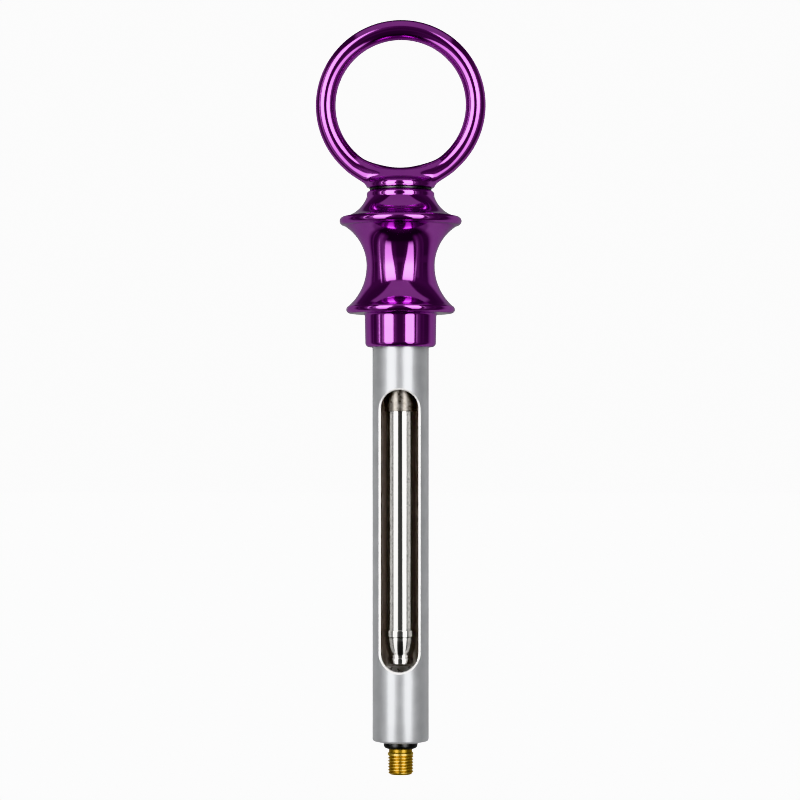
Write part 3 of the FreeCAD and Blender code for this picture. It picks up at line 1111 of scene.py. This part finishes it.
@dataclass
class Plunger:
    """Rod with the head that drives the cartridge's bung, and the buffer washer.

    Attributes:
        rod_r: Radius of the rod.
        stud_r: Radius of the stud at each end.
        ring_stud: Length of the stud in the thumb ring.
        head_stud: Length of the stud in the head.
        stud_chamfer: Chamfer of both studs.
        band: Height of the head's band.
        band_edge: Chamfer of the band's edges.
        body_r: Radius of the head's body at its top.
        body: Length of the body from the band to the neck.
        neck_r: Radius of the neck that the body draws in to.
        neck: Length of the neck.
        foot_r: Radius of the foot.
    """

    rod_r: float = 3.0
    stud_r: float = 1.5
    ring_stud: float = 2.8
    head_stud: float = 4.5
    stud_chamfer: float = 0.3
    band: float = 1.4
    band_edge: float = 0.2
    body_r: float = 3.125
    body: float = 3.7
    neck_r: float = 2.45
    neck: float = 0.5
    foot_r: float = 2.6

    def rod(self) -> bpy.types.Object:
        """Turns the rod with its two shouldered studs."""
        low, high = box_mm("plunger_rod")
        stud = self.stud_r
        chamfer = self.stud_chamfer
        head_top, ring_base = low.z + self.head_stud, high.z - self.ring_stud
        outline = Outline().line(0, low.z).line(stud - chamfer, low.z).line(stud, low.z + chamfer)
        outline.line(stud, head_top).line(self.rod_r, head_top).line(self.rod_r, ring_base)
        outline.line(stud, ring_base).line(stud, high.z - chamfer).line(stud - chamfer, high.z)
        outline.line(0, high.z)
        return turned("plunger_rod_polished", outline, 160)

    def head(self) -> bpy.types.Object:
        """Turns the head, with a band, a body that bows in to a neck, and a foot.

        Returns:
            The finished piece.
        """
        low, high = box_mm("plunger_head")
        band_r, top = high.x, high.z
        band_z = top - self.band
        neck_z = band_z - self.body
        foot_top = neck_z - self.neck
        edge = self.band_edge
        body_top = band_z - edge
        stud_z = top - self.head_stud
        bow_r = leaving_radius((self.neck_r, body_top), (self.body_r, neck_z))
        bow_end = math.degrees(math.asin((neck_z - body_top) / bow_r))
        foot_in = self.foot_r - edge
        outline = Outline(step=2.0).line(0, low.z)
        outline.arc((foot_in, low.z + edge), edge, -90, 0).arc((foot_in, foot_top - edge), edge, 0, 90)
        outline.line(self.neck_r, foot_top).line(self.neck_r, neck_z)
        outline.arc((self.body_r - bow_r, body_top), bow_r, bow_end, 0).line(band_r, band_z)
        outline.arc((band_r - edge, top - edge), edge, 0, 90)
        outline.line(self.stud_r, top).line(self.stud_r, stud_z).line(0, stud_z)
        return turned("plunger_head_polished", outline, 160)

    def buffer(self) -> bpy.types.Object:
        """Turns the buffer washer with rounded outer edges."""
        low, high = box_mm("buffer_washer")
        edge = (high.z - low.z) / 3
        outline = Outline(step=15.0).line(self.rod_r, low.z)
        outline.arc((high.x - edge, low.z + edge), edge, -90, 0)
        outline.arc((high.x - edge, high.z - edge), edge, 0, 90)
        outline.line(self.rod_r, high.z)
        return turned("buffer_washer_moulded", outline)

    def build(self) -> None:
        """Builds the rod, the head and the washer."""
        deliver(self.rod(), POLISHED_ROD, Body.PLUNGER, "plunger_rod")
        deliver(self.head(), POLISHED_ROD, Body.PLUNGER, "plunger_head")
        deliver(self.buffer(), NITRILE, Body.PLUNGER, "buffer_washer")


@dataclass
class ThumbRing:
    """Ring of round wire whose sides flare up from a round foot, as one smooth surface.

    The surface is where a distance field is zero. A copy of the CAD node is remeshed evenly,
    and its points are then drawn onto that surface.

    Attributes:
        wire_d: Diameter of the wire.
        heel: How much the wire's radius grows inwards at the foot.
        heel_reach: How far up the ring that growth reaches, as a share of its radius.
        foot_d: Diameter of the foot.
        foot_wall: Height of the foot.
        foot_round: Rounding of the foot's upper edge.
        flare_inset: How far the flare stands back from the foot's edge at its lower end.
        flare_rise: Height over which the flare turns into the wire.
        flare_spread: How much wider the flare gets over that height.
        flare_power: How fast the flare thins to the wire's thickness.
        blend: Width of the fillet between the flare and the wire.
        foot_blend: Width of the fillet between the flare and the foot.
        rim_blend: Rounding of the foot's lower edge.
        stud_hole_r: Radius of the hole for the rod's stud.
        stud_hole: Depth of that hole.
        voxel: Size of the remeshed faces.
        least_slope: Square of the smallest slope of the field that a pull reckons with.
        pulls: Number of times the points are drawn to the surface.
        relaxings: How many of those times they are first spread evenly.
    """

    wire_d: float = 4.15
    heel: float = 0.28
    heel_reach: float = 0.2
    foot_d: float = 13.3
    foot_wall: float = 1.5
    foot_round: float = 0.5
    flare_inset: float = 0.2
    flare_rise: float = 3.5
    flare_spread: float = 2.3
    flare_power: float = 1.7
    blend: float = 0.9
    foot_blend: float = 1.0
    rim_blend: float = 0.2
    stud_hole_r: float = 1.5
    stud_hole: float = 2.8
    voxel: float = 0.16
    least_slope: float = 0.05
    pulls: int = 14
    relaxings: int = 10

    def __post_init__(self) -> None:
        """Reads the ring's place from the frame."""
        low, high = box_mm("thumb_ring")
        self.base_z = low.z
        self.ring_r = high.x - self.wire_d / 2
        self.centre_z = high.z - high.x

    @staticmethod
    def soft_min(first: np.ndarray, second: np.ndarray, width: float) -> np.ndarray:
        """Joins two distance fields with a fillet.

        Args:
            first: Distances to one shape.
            second: Distances to the other shape.
            width: Width of the fillet.

        Returns:
            Distances to the joined shape.
        """
        share = np.clip(0.5 + 0.5 * (second - first) / width, 0, 1)
        return second * (1 - share) + first * share - width * share * (1 - share)

    def distance(self, points: np.ndarray) -> np.ndarray:
        """Measures how far points lie outside the ring.

        Args:
            points: Places in millimetres, one row each.

        Returns:
            Distances, negative inside.
        """
        x, y, z = points.T
        wire_r, foot_r = self.wire_d / 2, self.foot_d / 2
        flare_r = foot_r - self.flare_inset
        out = np.hypot(x, z - self.centre_z)
        down = np.clip(1 - (1 - (self.centre_z - z) / np.maximum(out, 1e-6)) / self.heel_reach, 0, 1)
        heel = self.heel * down * down * (3 - 2 * down)
        wire = np.hypot(out - self.ring_r + heel, y) - wire_r - heel
        share = np.clip((z - self.base_z) / self.flare_rise, 0, 1)
        half_x = flare_r + self.flare_spread * share
        half_y = wire_r + (flare_r - wire_r) * (1 - share) ** self.flare_power
        oval = (np.hypot(x / half_x, y / half_y) - 1) * np.minimum(half_x, half_y)
        flare = -self.soft_min(-oval, self.base_z + self.flare_rise - z, self.blend)
        foot_top = self.base_z + self.foot_wall
        foot = -self.soft_min(foot_r - np.hypot(x, y), foot_top - z, 2 * self.foot_round)
        whole = self.soft_min(self.soft_min(wire, flare, self.blend), foot, self.foot_blend)
        trimmed = -self.soft_min(-whole, z - self.base_z, self.rim_blend)
        hole = np.maximum(np.hypot(x, y) - self.stud_hole_r, z - self.base_z - self.stud_hole)
        return np.maximum(trimmed, -hole)

    def gradient(self, points: np.ndarray) -> np.ndarray:
        """Direction and steepness in which the distance grows, at each point."""
        reach = 1e-4
        steps = np.eye(3) * reach
        sides = [(self.distance(points + s) - self.distance(points - s)) / (2 * reach) for s in steps]
        return np.stack(sides, axis=1)

    @staticmethod
    def relaxed(places: np.ndarray, edges: np.ndarray) -> np.ndarray:
        """Moves every point halfway to the middle of its neighbours.

        Args:
            places: Places of the points, one row each.
            edges: Numbers of the two points of each edge.

        Returns:
            The new places.
        """
        total = np.zeros_like(places)
        np.add.at(total, edges[:, 0], places[edges[:, 1]])
        np.add.at(total, edges[:, 1], places[edges[:, 0]])
        count = np.bincount(edges.ravel(), minlength=len(places))
        return (places + total / np.maximum(count, 1)[:, None]) / 2

    def ring(self) -> bpy.types.Object:
        """Remeshes the CAD node's copy and draws it onto the smooth surface.

        Returns:
            The finished piece.
        """
        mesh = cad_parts["thumb_ring"].data.copy()
        sheet = bmesh.new()
        sheet.from_mesh(mesh)
        bmesh.ops.scale(sheet, vec=(1 / METRES,) * 3, verts=sheet.verts)
        bmesh.ops.remove_doubles(sheet, verts=sheet.verts, dist=self.voxel / 100)
        sheet.to_mesh(mesh)
        sheet.free()
        piece = bpy.data.objects.new("thumb_ring_polished", mesh)
        bpy.context.scene.collection.objects.link(piece)
        remesh = piece.modifiers.new("even", "REMESH")
        remesh.mode = "VOXEL"
        remesh.voxel_size = self.voxel
        evaluated = piece.evaluated_get(bpy.context.evaluated_depsgraph_get())
        even = bpy.data.meshes.new_from_object(evaluated)
        piece.modifiers.remove(remesh)
        places = np.zeros(len(even.vertices) * 3)
        even.vertices.foreach_get("co", places)
        places = places.reshape(-1, 3)
        edges = np.zeros(len(even.edges) * 2, dtype=np.int32)
        even.edges.foreach_get("vertices", edges)
        for number in range(self.pulls):
            if number < self.relaxings:
                places = self.relaxed(places, edges.reshape(-1, 2))
            slope = self.gradient(places)
            steep = np.maximum((slope**2).sum(axis=1), self.least_slope)
            places -= slope * (self.distance(places) / steep)[:, None]
        normals = self.gradient(places)
        normals /= np.maximum(np.linalg.norm(normals, axis=1, keepdims=True), 1e-6)
        even.vertices.foreach_set("co", (places * METRES).ravel())
        even.update()
        even.shade_smooth()
        even.normals_split_custom_set_from_vertices([tuple(n) for n in normals])
        piece.data = even
        return piece

    def build(self) -> None:
        """Builds the ring."""
        deliver(self.ring(), PURPLE_MIRROR, Body.PLUNGER, "thumb_ring")


# Studio


@dataclass(frozen=True)
class SoftBox:
    """A tall soft box, as the metal mirrors it.

    Attributes:
        left: Azimuth of its left edge at the camera's height, and its change per degree upwards.
        right: The same for its right edge.
        share: Its brightness as a share of the studio's strip glow.
        softness: Half the width of its blurred edges in degrees.
    """

    left: Point
    right: Point
    share: float
    softness: float = 2.0


@dataclass
class Studio:
    """Camera, floor and soft lights of a plain photo studio.

    Attributes:
        distance: Distance from the camera to the main axis in millimetres.
        eye_height: Height of the camera above the needle tip.
        azimuth: How far the camera stands to the right of the window, in degrees.
        pixels_per_mm: Scale of the photograph in the axis's plane.
        image_size: Width and height of the image in pixels.
        eye_row: Row of the image that is level with the camera.
        axis_column: Column of the image where the main axis stands.
        sensor: Width of the camera's sensor.
        floor_drop: How far the floor lies below the needle tip at rest.
        floor_size: Side of the floor.
        ceiling_light: Strength of the soft light from above that only dull surfaces take.
        ceiling_spread: Angle that this light fills, in degrees.
        strips: The two tall soft boxes and the narrow lit edges beside them.
        strip_glow: Brightness of the soft boxes by elevation.
        front_glow: Brightness of the dark front, the ceiling and the floor by elevation.
        wall_glow: Brightness round the room by azimuth.
        wall_top: Elevations between which the walls' light fades out upwards.
        floor_glow: Brightness of the floor behind the object.
        ceiling_glow: Brightness of the ceiling's panel.
        ceiling_reach: Half width of that panel as a share of its height.
        backdrop: Brightness of the white behind the object, for the camera alone.
    """

    distance: float = 525.0
    eye_height: float = 68.0
    azimuth: float = 3.0
    pixels_per_mm: float = 4.95
    image_size: int = 800
    eye_row: float = 437.6
    axis_column: float = 400.6
    sensor: float = 36.0
    floor_drop: float = 7.0
    floor_size: float = 6000.0
    ceiling_light: float = 8.5
    ceiling_spread: float = 140.0
    strips: tuple[SoftBox, ...] = (
        SoftBox((-49.0, 0.05), (-21.5, 0.21), 1.0),
        SoftBox((19.5, -0.25), (46.5, -0.03), 1.0),
        SoftBox((-58.0, 0.1), (-48.0, 0.1), 0.1, 1.5),
        SoftBox((-70.5, 0.1), (-67.5, 0.1), 0.35, 1.0),
        SoftBox((54.0, -0.12), (58.5, -0.12), 0.12, 1.0),
        SoftBox((-24.0, 0.2), (-10.0, 0.1), 0.03, 5.0),
        SoftBox((11.0, -0.2), (24.0, -0.2), 0.02, 4.0),
    )
    strip_glow: tuple[Point, ...] = (
        (-50, 0.0), (-45, 0.8), (-38, 1.5), (-20, 1.9), (-9, 2.5), (-3, 3.5), (3, 5.5), (8, 7.0),
        (15, 7.0), (22, 6.0), (30, 5.0), (36, 2.5), (39, 0.0),
    )
    front_glow: tuple[Point, ...] = (
        (-90, 0.09), (-80, 0.06), (-71, 0.015), (-53, 0.015), (-48, 0.035), (-14, 0.05), (-9, 0.1),
        (-1, 0.1), (1.5, 0.06), (9, 0.07), (18, 0.085), (35, 0.1), (45, 0.06), (90, 0.05),
    )
    wall_glow: tuple[Point, ...] = (
        (-180, 0.25), (-165, 0.34), (-150, 0.42), (-115, 0.42), (-108, 0.28), (-102, 0.06),
        (-98.5, 0.07), (-96, 0.25), (-93, 0.06), (-82, 0.07), (-77, 0.25), (-72, 0.3),
        (-66, 0.3), (-61, 0.16), (-50, 0.1), (-44, 0.0),
        (46, 0.0), (52, 0.05), (60, 0.2), (63, 0.22), (69, 0.13), (74, 0.07), (82, 0.12), (87, 0.05),
        (101, 0.06), (107, 0.22), (113, 0.37), (122, 0.43), (150, 0.42), (165, 0.34), (180, 0.25),
    )
    wall_top: Point = (26.0, 36.0)
    floor_glow: float = 0.25
    ceiling_glow: float = 0.4
    ceiling_reach: float = 0.62
    backdrop: float = 2.5

    def camera(self) -> None:
        """Sets the camera at the photograph's viewing angle."""
        data = bpy.data.cameras.new("camera")
        data.sensor_width = self.sensor
        data.lens = self.pixels_per_mm * self.distance * self.sensor / self.image_size
        data.shift_x = (self.image_size / 2 - self.axis_column) / self.image_size
        data.shift_y = (self.eye_row - self.image_size / 2) / self.image_size
        data.clip_start = 0.01
        data.clip_end = 20
        camera = bpy.data.objects.new("camera", data)
        angle = math.radians(self.azimuth)
        reach = self.distance * METRES
        camera.location = (reach * math.sin(angle), -reach * math.cos(angle), self.eye_height * METRES)
        camera.rotation_euler = (math.pi / 2, 0, angle)
        bpy.context.scene.collection.objects.link(camera)
        bpy.context.scene.camera = camera

    def floor(self) -> None:
        """Lays a plain pale floor, which polished metal doesn't mirror."""
        sheet = bmesh.new()
        bmesh.ops.create_grid(sheet, x_segments=1, y_segments=1, size=self.floor_size / 2 * METRES)
        bmesh.ops.translate(sheet, vec=(0, 0, -self.floor_drop * METRES), verts=sheet.verts)
        mesh = bpy.data.meshes.new("floor")
        sheet.to_mesh(mesh)
        sheet.free()
        floor = bpy.data.objects.new("floor", mesh)
        bpy.context.scene.collection.objects.link(floor)
        floor.visible_glossy = False
        material = bpy.data.materials.new("white_paper_sweep")
        material.use_nodes = True
        shader = material.node_tree.nodes["Principled BSDF"]
        shader.inputs["Base Color"].default_value = linear("#F4F4F4")
        shader.inputs["Roughness"].default_value = 0.9
        mesh.materials.append(material)

    def skylight(self) -> None:
        """Lights dull surfaces from a wide soft ceiling that stays out of the mirrors."""
        data = bpy.data.lights.new("soft_ceiling", "SUN")
        data.energy = self.ceiling_light
        data.angle = math.radians(self.ceiling_spread)
        ceiling = bpy.data.objects.new("soft_ceiling", data)
        ceiling.visible_glossy = False
        bpy.context.scene.collection.objects.link(ceiling)

    def surroundings(self) -> None:
        """Makes the studio that the metal mirrors, as light from each direction.

        Two tall soft boxes stand left and right of the camera, between dark flags. A pale
        ceiling and a pale backdrop close the room. The camera itself sees white.
        """
        world = bpy.data.worlds.new("studio")
        world.use_nodes = True
        tree = world.node_tree
        tree.nodes.clear()

        def calc(operation: str, *values: Any) -> bpy.types.NodeSocket:
            """Adds a Math node and gives its output."""
            return add(tree, "ShaderNodeMath", dict(enumerate(values)), operation=operation).outputs[0]

        def step(value: Any, start: float, end: float) -> bpy.types.NodeSocket:
            """Eases from 0 to 1 while the value goes from start to end."""
            values = {"Value": value, "From Min": start, "From Max": end}
            return add(tree, "ShaderNodeMapRange", values, interpolation_type="SMOOTHSTEP").outputs["Result"]

        def level(value: bpy.types.NodeSocket, points: Sequence[Point]) -> bpy.types.NodeSocket:
            """Brightness at a value, run smoothly through points of value and brightness."""
            first, last = points[0][0], points[-1][0]
            share = calc("DIVIDE", calc("SUBTRACT", value, first), last - first)
            peak = max(p[1] for p in points)
            node = add(tree, "ShaderNodeValToRGB", {"Fac": share})
            node.color_ramp.interpolation = "LINEAR"
            steps = node.color_ramp.elements
            while len(steps) < len(points):
                steps.new(0.5)
            for element, (place, bright) in zip(steps, points):
                element.position = (place - first) / (last - first)
                grey = bright / peak
                element.color = (grey, grey, grey, 1.0)
            return calc("MULTIPLY", node.outputs["Color"], peak)

        place = add(tree, "ShaderNodeTexCoord").outputs["Generated"]
        parts = add(tree, "ShaderNodeSeparateXYZ", {0: place}).outputs
        around = calc("DEGREES", calc("ARCTAN2", parts["X"], calc("MULTIPLY", parts["Y"], -1.0)))
        rise = calc("DEGREES", calc("ARCSINE", parts["Z"]))

        def past(edge: Point) -> bpy.types.NodeSocket:
            """How far a direction lies to the right of a soft box's edge, in degrees."""
            return calc("SUBTRACT", around, calc("MULTIPLY_ADD", rise, edge[1], edge[0]))

        boxes: Any = 0.0
        for strip in self.strips:
            soft = strip.softness
            lit = step(past(strip.left), -soft, soft), step(past(strip.right), soft, -soft)
            width = calc("MULTIPLY", *lit)
            boxes = calc("MULTIPLY_ADD", width, strip.share, boxes)
        boxes = calc("MULTIPLY", boxes, level(rise, self.strip_glow))
        behind = step(parts["Y"], 0.0, 0.25)
        upright = calc("MULTIPLY", step(rise, -66.0, -54.0), step(rise, self.wall_top[1], self.wall_top[0]))
        walls = calc("MULTIPLY", level(around, self.wall_glow), upright)
        floor = calc("MULTIPLY", calc("MULTIPLY", behind, self.floor_glow), step(rise, -30.0, -60.0))
        reach = calc("MULTIPLY", parts["Z"], self.ceiling_reach)
        beside = calc("SUBTRACT", calc("ABSOLUTE", parts["X"]), reach)
        panel = calc("MULTIPLY", step(beside, 0.04, -0.04), step(rise, 35.0, 42.0))
        ceiling = calc("MULTIPLY", calc("MULTIPLY", panel, step(parts["Y"], 0.45, 0.25)), self.ceiling_glow)
        room = calc("MAXIMUM", level(rise, self.front_glow), walls)
        room = calc("MAXIMUM", calc("MAXIMUM", room, floor), ceiling)
        light = calc("ADD", room, boxes)
        studio = add(tree, "ShaderNodeBackground", {"Color": (1.0, 1.0, 1.0, 1.0), "Strength": light})
        white = add(tree, "ShaderNodeBackground", {"Color": (1.0, 1.0, 1.0, 1.0), "Strength": self.backdrop})
        seen = add(tree, "ShaderNodeLightPath").outputs["Is Camera Ray"]
        mixed = add(tree, "ShaderNodeMixShader", {0: seen, 1: studio.outputs[0], 2: white.outputs[0]})
        add(tree, "ShaderNodeOutputWorld", {"Surface": mixed.outputs[0]})
        bpy.context.scene.world = world

    def build(self) -> None:
        """Sets up the whole studio."""
        self.camera()
        self.floor()
        self.skylight()
        self.surroundings()
        bpy.context.scene.view_settings.view_transform = "Khronos PBR Neutral"
        LOG.info("studio: camera %.0f mm away, floor %.0f mm below the tip", self.distance, self.floor_drop)


def main() -> None:
    """Builds the studio and every sub-assembly, and logs what each one made."""
    logging.basicConfig(level=logging.INFO, format="%(name)s: %(message)s")
    parts: Iterable[Callable[[], None]] = (
        Studio().build,
        NeedleEnd().build,
        Barrel().build,
        Grip().build,
        Plunger().build,
        ThumbRing().build,
    )
    for build in parts:
        build()


if __name__ == "__main__":
    main()
